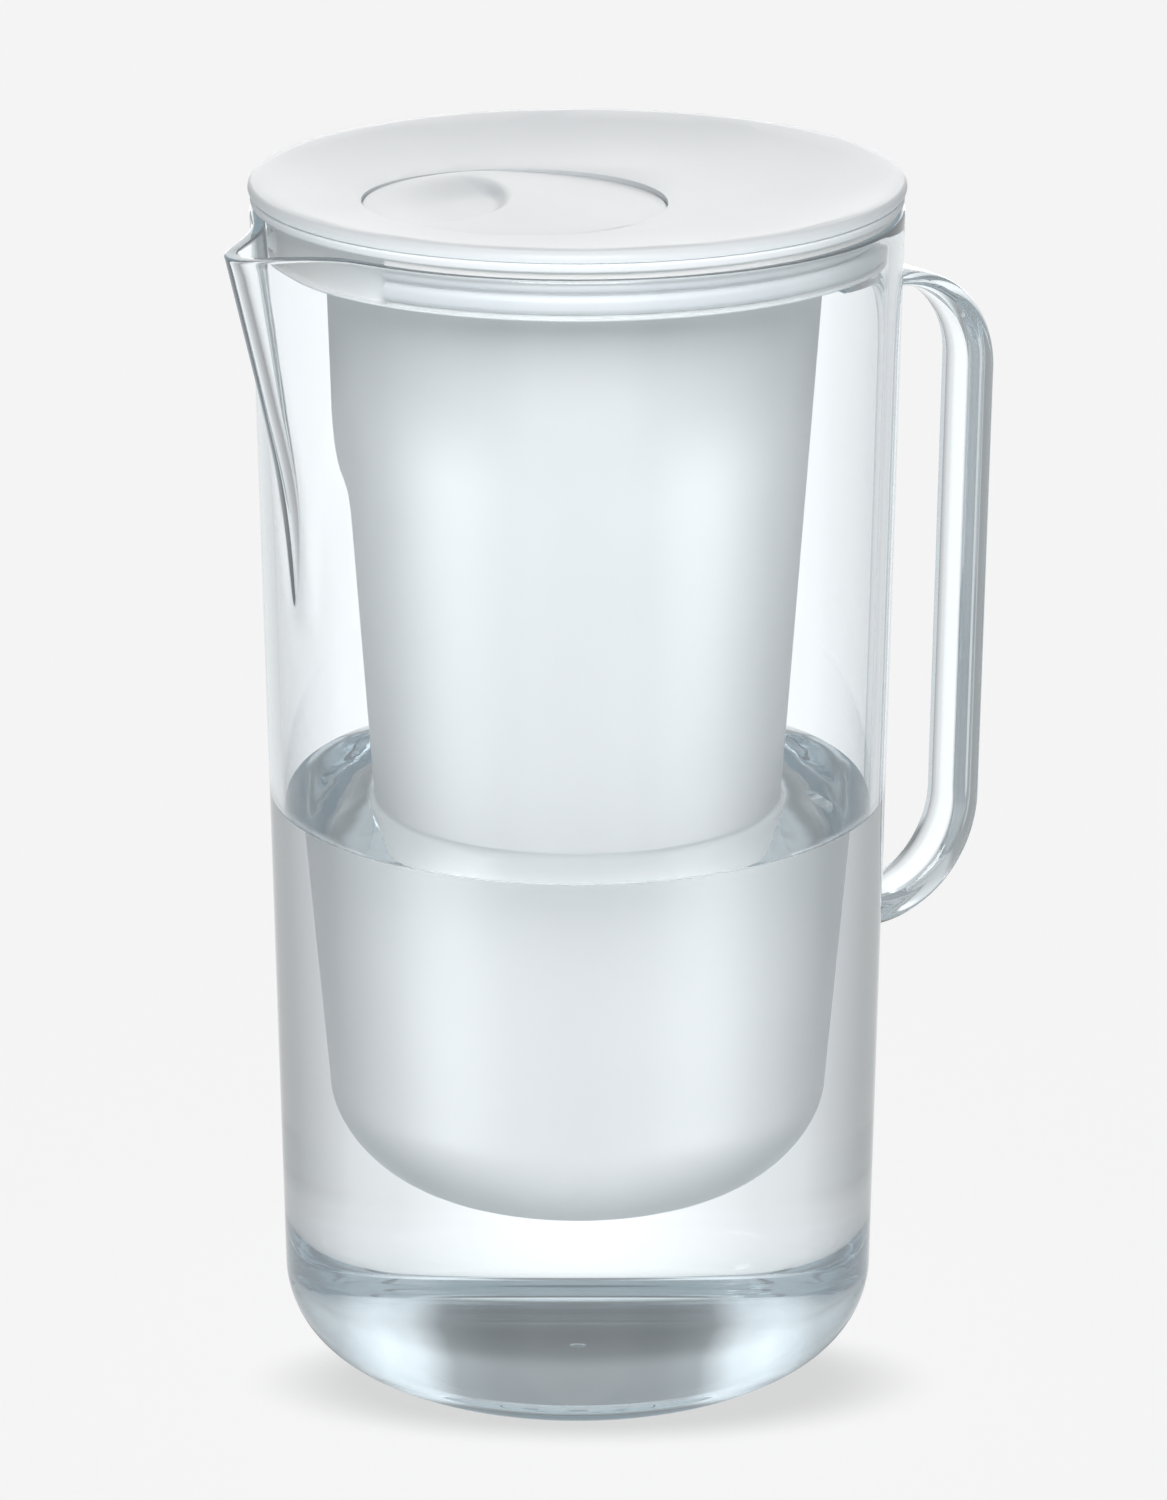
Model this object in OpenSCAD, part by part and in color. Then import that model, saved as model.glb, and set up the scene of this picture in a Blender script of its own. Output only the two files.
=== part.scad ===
// Water filter pitcher with a flip lid: a clear jug with a pouring beak and a
// strap handle, a frosted hopper that hangs in it, a filter cartridge in the
// hopper, and a dished lid with a rocking filler flap.
// The origin is the centre of the jug's base. The beak points to -X, the
// handle to +X, and +Z is up.

/* [Jug] */
// Height of the jug's rim above the table
jug_h = 252; // [240:1:265]
// Outer radius of the jug at its rim
jug_rim_r = 67.7; // [66:0.1:70]
// Outer radius that the straight wall would have at the table
jug_base_r = 63.6; // [61:0.1:65]
// Thickness of the jug's wall
jug_wall = 3; // [2.4:0.1:3.2]
// Thickness of the jug's floor
jug_floor = 6; // [4:0.5:9]
// Outer radius of the rounded bottom corner
jug_corner_r = 17.7; // [12:0.1:20]

/* [Beak] */
// Distance from the jug's axis to the tip of the beak
beak_reach = 81.3; // [78:0.1:86]
// Rounding of the beak's nose, seen from above
beak_nose_r = 8; // [6:0.5:10]
// Angle between each flank of the beak and its middle plane
beak_flank_angle = 40; // [36:1:44]
// Height of the beak, from the point of its V to the rim
beak_h = 63; // [50:1:80]
// How far the tip lies below the rim
beak_dip = 1.5; // [0:0.1:3]

/* [Handle] */
// Distance from the jug's axis to the grip's outer face
grip_reach = 102.4; // [99:0.1:108]
// Thickness of the grip, from its inner to its outer face
grip_t = 6.8; // [5:0.1:8]
// Width of the handle, measured across it
grip_w = 13; // [10:0.5:18]
// Height of the top face of the upper arm
handle_top_z = 228.9; // [222:0.1:234]
// Height of the bottom face of the lower arm
handle_bottom_z = 81.3; // [70:0.1:95]
// Thickness of the upper arm where it meets the wall
upper_arm_t = 3; // [2.5:0.1:5]
// Outer radius of the upper bend
upper_bend_r = 23.6; // [20:0.1:26]
// Outer radius of the lower bend
lower_bend_r = 27; // [24:0.1:29]

/* [Hopper] */
// Outer radius of the tub just under the collar
tub_top_r = 51.4; // [48:0.1:54]
// Outer radius that the tub's straight wall would have at its floor
tub_floor_r = 37.5; // [35:0.1:42]
// Height of the tub's underside above the table
tub_bottom_z = 39; // [32:0.5:60]
// Thickness of the hopper's wall
tub_wall = 2.2; // [1.8:0.1:3]
// Outer radius of the tub's rounded bottom corner
tub_corner_r = 21; // [12:0.5:24]
// Height of the collar that hangs inside the jug's rim
collar_h = 8.8; // [7:0.1:11]
// Gap between the collar's bottom lip and the jug's wall
collar_gap = 0.5; // [0.3:0.1:1]
// Thickness of the flange that rests on the jug's rim
flange_t = 1.4; // [1:0.1:2]
// How far the flange's edge lies inside the rim's outer edge
flange_inset = 1.3; // [1:0.1:2]
// Half of the angle that is left open over the beak
pour_half_angle = 23; // [21:1:30]

/* [Rim seal] */
// Height of the seal's upper band
upper_band_h = 1.8; // [1.2:0.1:2.4]
// Height of the seal's lower band
lower_band_h = 4; // [3:0.1:4.6]
// Gap between the seal's bands and the jug's wall
seal_gap = 0.3; // [0.2:0.05:0.5]

/* [Lid] */
// Outer radius of the lid
lid_r = 68; // [67:0.1:71]
// Height of the lid's edge, from its underside to its crest
lid_edge_h = 2.8; // [2.2:0.1:4]
// Height of the liner's ring, the second line under the lid's edge
liner_edge_h = 1.9; // [1.5:0.1:3]
// Depth of the dish in the lid's top
dish_depth = 3.9; // [3:0.1:4.1]
// Radius at which the dish begins to rise
dish_floor_r = 30; // [20:1:40]
// Thickness of the lid's plate
lid_t = 2; // [1.6:0.1:2.4]
// Depth of the skirt that plugs into the hopper's collar
skirt_h = 8; // [5:0.5:9]
// Gap between the skirt and the collar
skirt_gap = 0.4; // [0.3:0.1:1]

/* [Flap] */
// Radius of the filler flap
flap_r = 31; // [26:0.5:32]
// Distance from the lid's centre to the flap's centre
flap_offset = 15; // [12:0.5:18]
// Gap all round the flap
flap_gap = 0.5; // [0.5:0.05:0.8]
// Thickness of the flap's plate
flap_t = 2.4; // [2:0.1:2.6]
// Distance from the flap's centre to its pivot
pivot_offset = 7.5; // [5:0.5:10]
// Radius of the flap's pivot pins
pivot_r = 1; // [0.8:0.1:1.2]
// Depth of the finger scoop
scoop_depth = 2.8; // [2:0.1:4]
// Radius of the finger scoop's rim
scoop_r = 16; // [10:0.5:17]
// How far the flap opens, in degrees
flap_open = 0; // [0:1:80]

/* [Cartridge] */
// Largest radius of the cartridge's shell
cartridge_r = 31; // [26:0.5:33]
// Height of the cartridge's shell
cartridge_h = 88; // [70:1:100]
// Thickness of the shell's wall
cartridge_wall = 1.6; // [1.2:0.1:2.4]
// Radius of the outlet neck that seats in the hopper's floor
neck_r = 15; // [12:0.5:17]
// Height of the cap's dome
cap_dome_h = 6; // [4:0.5:10]
// Number of inlet slots in the cap
cap_slots = 16; // [8:1:24]
// Number of outlet holes in the neck, in one ring
outlet_holes = 10; // [6:1:12]

/* [Hidden] */
$fn = 96;
arc_steps = 12;
nose_steps = 16;
eps = 0.01;
far = 300;

// The jug's wall leans out a little from the base to the rim.
lean = (jug_rim_r - jug_base_r) / jug_h;
function jug_r(z) = jug_base_r + lean * z;
function jug_in_r(z) = jug_r(z) - jug_wall;
// Points of an arc about [cx, cy] from angle a to angle b.
function arc(cx, cy, r, a, b, n = arc_steps) =
    [for (i = [0:n]) [cx + r * cos(a + (b - a) * i / n), cy + r * sin(a + (b - a) * i / n)]];

beak_z = jug_h - beak_h;
beak_tip_z = jug_h - beak_dip;
rim_spare = 5;
beak_sink = 10;
beak_run = 26;

collar_z = jug_h - collar_h;
collar_lip_t = 0.8;
collar_lip_r = jug_in_r(collar_z) - collar_gap;
collar_r = collar_lip_r - 1.7;
collar_in_r = collar_r - tub_wall;
flange_z = jug_h + flange_t;
flange_r = jug_rim_r - flange_inset;
tub_lean = (tub_top_r - tub_floor_r) / (collar_z - tub_bottom_z);
function tub_r(z) = tub_floor_r + tub_lean * (z - tub_bottom_z);
tub_floor_z = tub_bottom_z + tub_wall;
tub_fillet = 2.5;

lid_bottom_z = flange_z;
lid_edge_z = lid_bottom_z + liner_edge_h;
lid_top_z = lid_edge_z + lid_edge_h;
lid_crest_r = lid_r - 3;
dish_z = lid_top_z - dish_depth;
liner_r = lid_r - 0.5;
liner_plate_t = liner_edge_h;
skirt_r = collar_in_r - skirt_gap;
skirt_t = 1.6;

pivot_x = -flap_offset + pivot_offset;
pivot_z = dish_z - 2;
pivot_clear = 0.06;
pin_len = 2;
pin_notch = 0.6;
pin_notch_w = 8;
boss_w = 6;
boss_h = 4.4;
boss_shift = 1.7;
ledge_w = 2;
ledge_t = 1.2;
scoop_x = -flap_offset - 11;
scoop_y = 6.5;
scoop_ball_r = (pow(scoop_r, 2) + pow(scoop_depth, 2)) / (2 * scoop_depth);
cup_t = 1.6;

cartridge_clear = 1.6;
cartridge_z = tub_floor_z + cartridge_clear;
cartridge_top_z = cartridge_z + cartridge_h;
cartridge_draft = 1.5;
cartridge_corner_r = 10;
function cartridge_out_r(z) =
    cartridge_r - cartridge_draft * (cartridge_top_z - z) / cartridge_h;
function cartridge_in_r(z) = cartridge_out_r(z) - cartridge_wall;
neck_clear = 0.4;
screen_t = 1;
felt_t = 1.5;
bed_z = cartridge_z + cartridge_wall + screen_t;
bed_top_z = cartridge_top_z - screen_t - 3;
felt_z = bed_z + (bed_top_z - bed_z) * 0.55;
media_gap = 0.1;
seal_h = cartridge_clear - 0.1;
seal_ring_t = 2.8;
screen_pitch = 5;
screen_hole_r = 1.3;

module revolve(points) {
    rotate_extrude($fn = $fn)
        polygon(points);
}

module tube(r_out, r_in, z0, z1) {
    revolve([[r_in, z0], [r_out, z0], [r_out, z1], [r_in, z1]]);
}

// A wedge that opens towards the beak, for what is left out over it.
module beak_wedge(half_angle, z0, z1) {
    translate([0, 0, z0])
        linear_extrude(z1 - z0)
            polygon([[0, 0],
                     [-far * cos(half_angle), far * sin(half_angle)],
                     [-far * cos(half_angle), -far * sin(half_angle)]]);
}

module jug_outside(top) {
    revolve(concat(
        [[0, 0]],
        arc(jug_r(jug_corner_r) - jug_corner_r, jug_corner_r, jug_corner_r, -90, 0),
        [[jug_r(top), top], [0, top]]));
}

module jug_inside(top) {
    r = jug_corner_r - jug_wall;
    z = jug_floor + r;
    revolve(concat(
        [[0, jug_floor]],
        arc(jug_in_r(z) - r, z, r, -90, 0),
        [[jug_in_r(top), top], [0, top]]));
}

// The beak's outline, square to its ridge, with the nose's tip at the origin.
module beak_outline(inset) {
    r = beak_nose_r - inset;
    run = beak_run;
    x = beak_nose_r - r * sin(beak_flank_angle);
    y = r * cos(beak_flank_angle);
    polygon(concat(
        [[x + run, y + run * tan(beak_flank_angle)]],
        arc(beak_nose_r, 0, r, 90 + beak_flank_angle, 270 - beak_flank_angle, nose_steps),
        [[x + run, -y - run * tan(beak_flank_angle)]]));
}

// The beak as a leaning bar, which leaves the wall in a V as it goes up.
module beak(inset) {
    start_r = jug_r(beak_z);
    tilt = atan((beak_reach - start_r) / (beak_tip_z - beak_z));
    translate([-start_r, 0, beak_z])
        rotate([0, -tilt, 0])
            translate([0, 0, -beak_sink])
                linear_extrude(beak_h + 3 * beak_sink)
                    beak_outline(inset);
}

// All that lies above the rim and the lip, which dips from the rim to the tip.
module above_lip() {
    root = jug_in_r(jug_h);
    slope = beak_dip / (beak_reach - root);
    translate([0, 2 * jug_rim_r, 0])
        rotate([90, 0, 0])
            linear_extrude(4 * jug_rim_r)
                polygon([[-2 * jug_rim_r, jug_h - slope * (2 * jug_rim_r - root)],
                         [-root, jug_h],
                         [2 * jug_rim_r, jug_h],
                         [2 * jug_rim_r, jug_h + beak_h],
                         [-2 * jug_rim_r, jug_h + beak_h]]);
}

module pitcher_body() {
    color([0.86, 0.9, 0.93, 0.45])
        difference() {
            union() {
                jug_outside(jug_h + rim_spare);
                beak(0);
            }
            above_lip();
            jug_inside(jug_h + beak_h);
            beak(jug_wall);
        }
}

// The handle's outline, seen from the side.
module handle_outline() {
    out_top = grip_reach;
    in_top = grip_reach - grip_t;
    slant = lean * (handle_top_z - handle_bottom_z - upper_bend_r - lower_bend_r);
    out_low = out_top - slant;
    in_low = in_top - slant;
    in_r = upper_bend_r - grip_t + 1.8;
    low_z = handle_bottom_z + lower_bend_r;
    root_top = jug_r(handle_top_z) - jug_wall;
    root_low = jug_r(handle_bottom_z) - jug_wall;
    polygon(concat(
        [[root_top, handle_top_z]],
        arc(out_top - upper_bend_r, handle_top_z - upper_bend_r, upper_bend_r, 90, 0),
        arc(out_low - lower_bend_r, low_z, lower_bend_r, 0, -90),
        [[root_low, handle_bottom_z],
         [root_low, handle_bottom_z + grip_t]],
        arc(out_low - lower_bend_r, low_z, lower_bend_r - grip_t, -90, 0),
        arc(in_top - in_r, handle_top_z - upper_arm_t - in_r, in_r, 0, 90),
        [[root_top, handle_top_z - upper_arm_t]]));
}

module handle() {
    color([0.86, 0.9, 0.93, 0.45])
        difference() {
            translate([0, grip_w / 2, 0])
                rotate([90, 0, 0])
                    linear_extrude(grip_w)
                        handle_outline();
            jug_outside(jug_h);
        }
}

module hopper() {
    in_corner = tub_corner_r - tub_wall;
    low_z = tub_bottom_z + tub_corner_r;
    top_z = collar_z - tub_fillet;
    ledge_z = collar_z + tub_wall;
    color([0.93, 0.94, 0.95])
        difference() {
            revolve(concat(
                [[neck_r + neck_clear, tub_bottom_z]],
                arc(tub_r(low_z) - tub_corner_r, low_z, tub_corner_r, -90, 0),
                arc(tub_r(top_z) + tub_fillet, top_z, tub_fillet, 180, 90),
                [[collar_lip_r, collar_z],
                 [collar_lip_r, collar_z + collar_lip_t],
                 [collar_r, collar_z + collar_lip_t],
                 [collar_r, jug_h],
                 [flange_r, jug_h],
                 [flange_r, flange_z],
                 [collar_in_r, flange_z],
                 [collar_in_r, ledge_z],
                 [tub_r(ledge_z) - tub_wall, ledge_z]],
                arc(tub_r(low_z) - tub_wall - in_corner, low_z, in_corner, 0, -90),
                [[neck_r + neck_clear, tub_floor_z]]));
            difference() {
                beak_wedge(pour_half_angle, jug_h - eps, flange_z + eps);
                translate([0, 0, jug_h - 1])
                    cylinder(r = collar_r, h = flange_t + 2);
            }
        }
}

// One rounded band of the rim seal.
module band(z0, h) {
    outer = jug_in_r(z0) - seal_gap;
    root = collar_r;
    bulge = min(h / 2, outer - root - 0.4);
    revolve(concat(
        [[root, z0]],
        arc(outer - bulge, z0 + bulge, bulge, -90, 0, 6),
        arc(outer - bulge, z0 + h - bulge, bulge, 0, 90, 6),
        [[root, z0 + h]]));
}

module rim_seal() {
    lower_z = collar_z + collar_lip_t + 0.6;
    upper_z = lower_z + lower_band_h + 0.6;
    color([0.95, 0.96, 0.97])
        difference() {
            union() {
                band(lower_z, lower_band_h);
                band(upper_z, upper_band_h);
                tube(collar_r + 0.8, collar_r, collar_z + collar_lip_t, upper_z + upper_band_h);
            }
            beak_wedge(pour_half_angle, collar_z - 1, jug_h + 1);
        }
}

function dish_rise(r) = r <= dish_floor_r ? 0
    : dish_depth * pow((r - dish_floor_r) / (lid_crest_r - dish_floor_r), 2);

module flap_hole(gap, z0, z1) {
    translate([-flap_offset, 0, z0])
        cylinder(r = flap_r + gap, h = z1 - z0);
}

// Small blocks under the plate that hold the flap's pivot pins.
module pivot_bosses() {
    reach = sqrt(pow(flap_r + flap_gap, 2) - pow(pivot_offset, 2));
    for (s = [-1, 1])
        translate([pivot_x - boss_w / 2, s * (reach + boss_shift) - boss_h / 2,
                   pivot_z - boss_h / 2])
            cube([boss_w, boss_h, dish_z - pivot_z + boss_h / 4]);
}

module pivot_bores() {
    reach = sqrt(pow(flap_r + flap_gap, 2) - pow(pivot_offset, 2));
    translate([pivot_x, reach + pin_len + 0.3, pivot_z])
        rotate([90, 0, 0])
            cylinder(r = pivot_r + pivot_clear, h = 2 * (reach + pin_len + 0.3));
}

module lid_cover() {
    steps = 14;
    plate_r = skirt_r - skirt_t - 0.2;
    top = [for (i = [0:steps])
        let (r = dish_floor_r + (lid_crest_r - dish_floor_r) * i / steps)
        [r, dish_z + dish_rise(r)]];
    under = [for (i = [steps:-1:0])
        let (r = dish_floor_r + (plate_r - dish_floor_r) * i / steps)
        [r, dish_z - lid_t + dish_rise(r) * 0.85]];
    edge_r = min(lid_edge_h / 2, lid_r - lid_crest_r);
    color([0.97, 0.98, 0.98])
        difference() {
            union() {
                difference() {
                    revolve(concat(
                        [[0, dish_z]],
                        top,
                        arc(lid_r - edge_r, lid_top_z - edge_r, edge_r, 75, -90, 10),
                        [[plate_r, lid_edge_z]],
                        under,
                        [[0, dish_z - lid_t]]));
                    flap_hole(flap_gap, dish_z - 10, lid_top_z + 1);
                }
                intersection() {
                    difference() {
                        flap_hole(2, dish_z - flap_t - ledge_t, dish_z - lid_t + 0.2);
                        flap_hole(-ledge_w, dish_z - 20, dish_z);
                        flap_hole(flap_gap, dish_z - flap_t, dish_z);
                    }
                    translate([-far, -far, 0])
                        cube([far - flap_offset, 2 * far, far]);
                }
                difference() {
                    pivot_bosses();
                    flap_hole(flap_gap, dish_z - 20, lid_top_z + 1);
                    translate([-far, -far, dish_z - eps])
                        cube([2 * far, 2 * far, 10]);
                }
            }
            pivot_bores();
        }
}

module lid_liner() {
    color([0.93, 0.94, 0.95])
        union() {
            revolve([[skirt_r - skirt_t, lid_bottom_z],
                     [liner_r - 1, lid_bottom_z],
                     [liner_r, lid_bottom_z + 0.7],
                     [liner_r, lid_bottom_z + liner_plate_t - 0.5],
                     [liner_r - 0.5, lid_bottom_z + liner_plate_t],
                     [skirt_r - skirt_t, lid_bottom_z + liner_plate_t]]);
            tube(skirt_r, skirt_r - skirt_t, lid_bottom_z - skirt_h, lid_bottom_z + 0.5);
        }
}

// Flats beside the pins, so that the flap's edge clears its hole as it turns.
module pin_notches(side) {
    for (s = [0, 180])
        translate([pivot_x, 0, dish_z - flap_t - 1])
            rotate([0, 0, s])
                translate([-pin_notch_w / 2, side, 0])
                    cube([pin_notch_w, 5, flap_t + 2]);
}

// The ball that the finger scoop is cut with. It lies off the flap's middle.
module scoop(grow) {
    translate([scoop_x, scoop_y, dish_z - scoop_depth + scoop_ball_r])
        sphere(r = scoop_ball_r + grow);
}

// The flap rocks on two pins: its spout side lifts, its tail dips.
module flip_lid() {
    reach = sqrt(pow(flap_r, 2) - pow(pivot_offset, 2));
    color([0.97, 0.98, 0.98])
        translate([pivot_x, 0, pivot_z])
            rotate([0, flap_open, 0])
                translate([-pivot_x, 0, -pivot_z])
                    difference() {
                        union() {
                            difference() {
                                flap_hole(0, dish_z - flap_t, dish_z);
                                pin_notches(reach - pin_notch);
                            }
                            intersection() {
                                scoop(cup_t);
                                flap_hole(-ledge_w - 0.4, dish_z - 15, dish_z - flap_t + eps);
                                translate([scoop_x, scoop_y, dish_z - 15])
                                    cylinder(r = scoop_r, h = 15);
                            }
                            translate([pivot_x, reach + pin_len, pivot_z])
                                rotate([90, 0, 0])
                                    cylinder(r = pivot_r, h = 2 * (reach + pin_len));
                        }
                        scoop(0);
                        // The tail falls away from the crease over the pivot.
                        translate([pivot_x, -far / 2, dish_z])
                            rotate([0, 2.5, 0])
                                cube([far, far, 10]);
                    }
}

module cartridge_profile(shrink, z0, z1) {
    r = cartridge_corner_r - shrink;
    z = cartridge_z + cartridge_corner_r;
    revolve(concat(
        z0 < z - 1
            ? concat([[0, z - r]], arc(cartridge_out_r(z) - shrink - r, z, r, -90, 0))
            : [[0, z0], [cartridge_out_r(z0) - shrink, z0]],
        [[cartridge_out_r(z1) - shrink, z1], [0, z1]]));
}

module cartridge_shell() {
    color([0.95, 0.96, 0.97])
        difference() {
            union() {
                cartridge_profile(0, 0, cartridge_top_z);
                translate([0, 0, tub_bottom_z + 0.3])
                    cylinder(r = neck_r, h = cartridge_z - tub_bottom_z);
            }
            cartridge_profile(cartridge_wall, 0, cartridge_top_z + 1);
            for (i = [0:outlet_holes - 1])
                rotate([0, 0, i * 360 / outlet_holes])
                    translate([neck_r * 0.62, 0, 0])
                        cylinder(r = 1.6, h = cartridge_z + 10, $fn = 24);
            cylinder(r = 2.2, h = cartridge_z + 10, $fn = 24);
        }
}

module cartridge_cap() {
    rim_h = 3;
    seat_r = cartridge_in_r(cartridge_top_z) - 0.05;
    dome_r = (pow(cartridge_r, 2) + pow(cap_dome_h, 2)) / (2 * cap_dome_h);
    dome = [for (i = [0:arc_steps])
        let (r = cartridge_r * (1 - i / arc_steps))
        [r, cartridge_top_z + rim_h + cap_dome_h - dome_r + sqrt(pow(dome_r, 2) - pow(r, 2))]];
    under = [for (i = [0:arc_steps])
        let (r = (seat_r - 1.6) * i / arc_steps)
        [r, cartridge_top_z + rim_h + cap_dome_h - dome_r - 1.8
            + sqrt(pow(dome_r, 2) - pow(r, 2))]];
    color([0.62, 0.78, 0.86])
        difference() {
            revolve(concat(
                [[seat_r, cartridge_top_z - rim_h],
                 [seat_r, cartridge_top_z],
                 [cartridge_r, cartridge_top_z]],
                dome,
                under,
                [[seat_r - 1.6, cartridge_top_z - rim_h]]));
            for (i = [0:cap_slots - 1])
                rotate([0, 0, i * 360 / cap_slots])
                    translate([15, -0.8, cartridge_top_z])
                        cube([10, 1.6, 20]);
        }
}

module pull_tab() {
    tab_w = 20;
    tab_t = 3;
    tab_h = 14;
    base_z = cartridge_top_z + 3 + cap_dome_h - 0.5;
    color([0.62, 0.78, 0.86])
        difference() {
            union() {
                translate([-tab_t / 2, -tab_w / 2, base_z])
                    cube([tab_t, tab_w, tab_h - 2]);
                translate([0, tab_w / 2, base_z + tab_h - 2])
                    rotate([90, 0, 0])
                        cylinder(r = 2, h = tab_w);
            }
            cap_dome_cut();
        }
}

// The space under the cap's dome, which the tab's foot is cut to.
module cap_dome_cut() {
    dome_r = (pow(cartridge_r, 2) + pow(cap_dome_h, 2)) / (2 * cap_dome_h);
    translate([0, 0, cartridge_top_z + 3 + cap_dome_h - dome_r])
        rotate_extrude($fn = $fn)
            polygon(concat([[0, 0]], arc(0, 0, dome_r, 80, 90, arc_steps)));
}

module screen(z) {
    r = cartridge_in_r(z) - media_gap;
    color([0.8, 0.82, 0.84])
        difference() {
            translate([0, 0, z])
                cylinder(r = r, h = screen_t - media_gap);
            for (ring = [1:4])
                for (i = [0:6 * ring - 1])
                    rotate([0, 0, i * 60 / ring])
                        translate([ring * screen_pitch, 0, z - screen_t])
                            cylinder(r = screen_hole_r, h = 4 * screen_t, $fn = 16);
        }
}

module upper_screen() {
    screen(bed_top_z);
}

module lower_screen() {
    z = bed_z - screen_t;
    reach = cartridge_out_r(cartridge_z + cartridge_corner_r) - cartridge_corner_r;
    color([0.8, 0.82, 0.84])
        difference() {
            translate([0, 0, z])
                cylinder(r = reach, h = screen_t - media_gap);
            for (ring = [1:3])
                for (i = [0:6 * ring - 1])
                    rotate([0, 0, i * 60 / ring])
                        translate([ring * screen_pitch, 0, z - screen_t])
                            cylinder(r = screen_hole_r, h = 4 * screen_t, $fn = 16);
        }
}

module bed(z0, z1) {
    intersection() {
        cartridge_profile(cartridge_wall + media_gap, 0, cartridge_top_z);
        translate([0, 0, z0])
            cylinder(r = cartridge_r, h = z1 - z0);
    }
}

module carbon_bed() {
    color([0.16, 0.16, 0.17])
        bed(felt_z + felt_t, bed_top_z - media_gap);
}

module divider_felt() {
    color([0.9, 0.9, 0.88])
        bed(felt_z, felt_z + felt_t - media_gap);
}

module resin_bed() {
    color([0.8, 0.62, 0.3])
        bed(bed_z, felt_z - media_gap);
}

module cartridge_seal() {
    color([0.5, 0.55, 0.6])
        tube(neck_r + seal_ring_t, neck_r + 0.05, tub_floor_z + 0.05, tub_floor_z + seal_h);
}

pitcher_body();
handle();
hopper();
rim_seal();
lid_cover();
lid_liner();
flip_lid();
cartridge_shell();
cartridge_cap();
pull_tab();
upper_screen();
carbon_bed();
divider_felt();
resin_bed();
lower_screen();
cartridge_seal();
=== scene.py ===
# A clear water filter pitcher with a frosted hopper and a white flip lid, built around its
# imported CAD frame. The beak points to -X, the handle to +X, and the jug stands on z = 0.
import math

import bmesh
import bpy
import numpy as np
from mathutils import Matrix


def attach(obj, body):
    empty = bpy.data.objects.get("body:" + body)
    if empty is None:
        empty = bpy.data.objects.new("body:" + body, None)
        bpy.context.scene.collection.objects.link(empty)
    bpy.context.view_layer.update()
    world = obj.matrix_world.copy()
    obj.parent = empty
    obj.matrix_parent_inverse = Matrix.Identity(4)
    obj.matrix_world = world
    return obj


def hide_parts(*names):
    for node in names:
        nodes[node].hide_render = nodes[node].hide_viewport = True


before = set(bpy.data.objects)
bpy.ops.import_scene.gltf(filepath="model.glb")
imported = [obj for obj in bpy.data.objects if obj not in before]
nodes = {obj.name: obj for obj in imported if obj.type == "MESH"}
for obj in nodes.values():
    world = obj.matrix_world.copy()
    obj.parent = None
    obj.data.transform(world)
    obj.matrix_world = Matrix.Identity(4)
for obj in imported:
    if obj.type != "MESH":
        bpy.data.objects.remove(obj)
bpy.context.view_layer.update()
MM = 0.001

# ---------------------------------------------------------------------------------------
# Camera. The picture is taken from 31 degrees round towards the beak, about 1.2 m off
# and 18 degrees down, with a long lens.
VIEW_AZIMUTH = math.radians(31)
VIEW_PITCH = 0.3190
camera_data = bpy.data.cameras.new("camera")
camera = bpy.data.objects.new("camera", camera_data)
bpy.context.scene.collection.objects.link(camera)
camera.location = (-0.59368, -0.99050, 0.5147)
camera.rotation_euler = (math.pi / 2 - VIEW_PITCH, 0, -VIEW_AZIMUTH)
camera_data.sensor_width = 36
camera_data.lens = 136.99
camera_data.clip_start = 0.05
camera_data.clip_end = 50
bpy.context.scene.camera = camera
scene = bpy.context.scene
scene.view_settings.view_transform = "Standard"
scene.cycles.max_bounces = 40
scene.cycles.transmission_bounces = 36
scene.cycles.glossy_bounces = 12
scene.cycles.diffuse_bounces = 4
scene.cycles.transparent_max_bounces = 48


# ---------------------------------------------------------------------------------------
# Studio. A white room: the world gives the plain pale background that the camera sees,
# and the field of light with soft grey flags that clear plastic and water need.
def shader_tree(tree):
    """A maker of nodes: add(kind, socket=value) returns the new node, and a socket given
    as a value is linked."""
    tree.nodes.clear()

    def add(kind, **given):
        node = tree.nodes.new(kind)
        for key, value in given.items():
            if key.startswith("_"):
                setattr(node, key[1:], value)
                continue
            if key.startswith("i") and key[1:].isdigit():
                socket = node.inputs[int(key[1:])]
            else:
                socket = node.inputs[key.replace("_", " ")]
            if isinstance(value, bpy.types.NodeSocket):
                tree.links.new(value, socket)
            else:
                socket.default_value = value
        return node

    return add


def light_path(add, name):
    return add("ShaderNodeLightPath").outputs[name]


def either_ray(add, first, second):
    return maths(add, "MAXIMUM", light_path(add, first), light_path(add, second))


def maths(add, operation, *values):
    node = add("ShaderNodeMath", _operation=operation)
    for k, value in enumerate(values):
        if isinstance(value, bpy.types.NodeSocket):
            node.id_data.links.new(value, node.inputs[k])
        else:
            node.inputs[k].default_value = value
    return node.outputs[0]


def ramp(add, value, low, high, start, end):
    """Start below low, end above high, and smooth between."""
    node = add("ShaderNodeMapRange", _interpolation_type="SMOOTHSTEP", Value=value)
    for name, number in (("From Min", low), ("From Max", high), ("To Min", start),
                         ("To Max", end)):
        node.inputs[name].default_value = number
    return node.outputs[0]


def profile(add, value, top, stops):
    """A curve of value through (value, height) stops, with heights of at most top."""
    node = add("ShaderNodeValToRGB", Fac=value)
    places = node.color_ramp.elements
    places.remove(places[1])
    for k, (place, height) in enumerate(stops):
        stop = places[0] if k == 0 else places.new(place)
        stop.position = place
        stop.color = (height / top, height / top, height / top, 1)
    return maths(add, "MULTIPLY", node.outputs["Color"], top)


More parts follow.
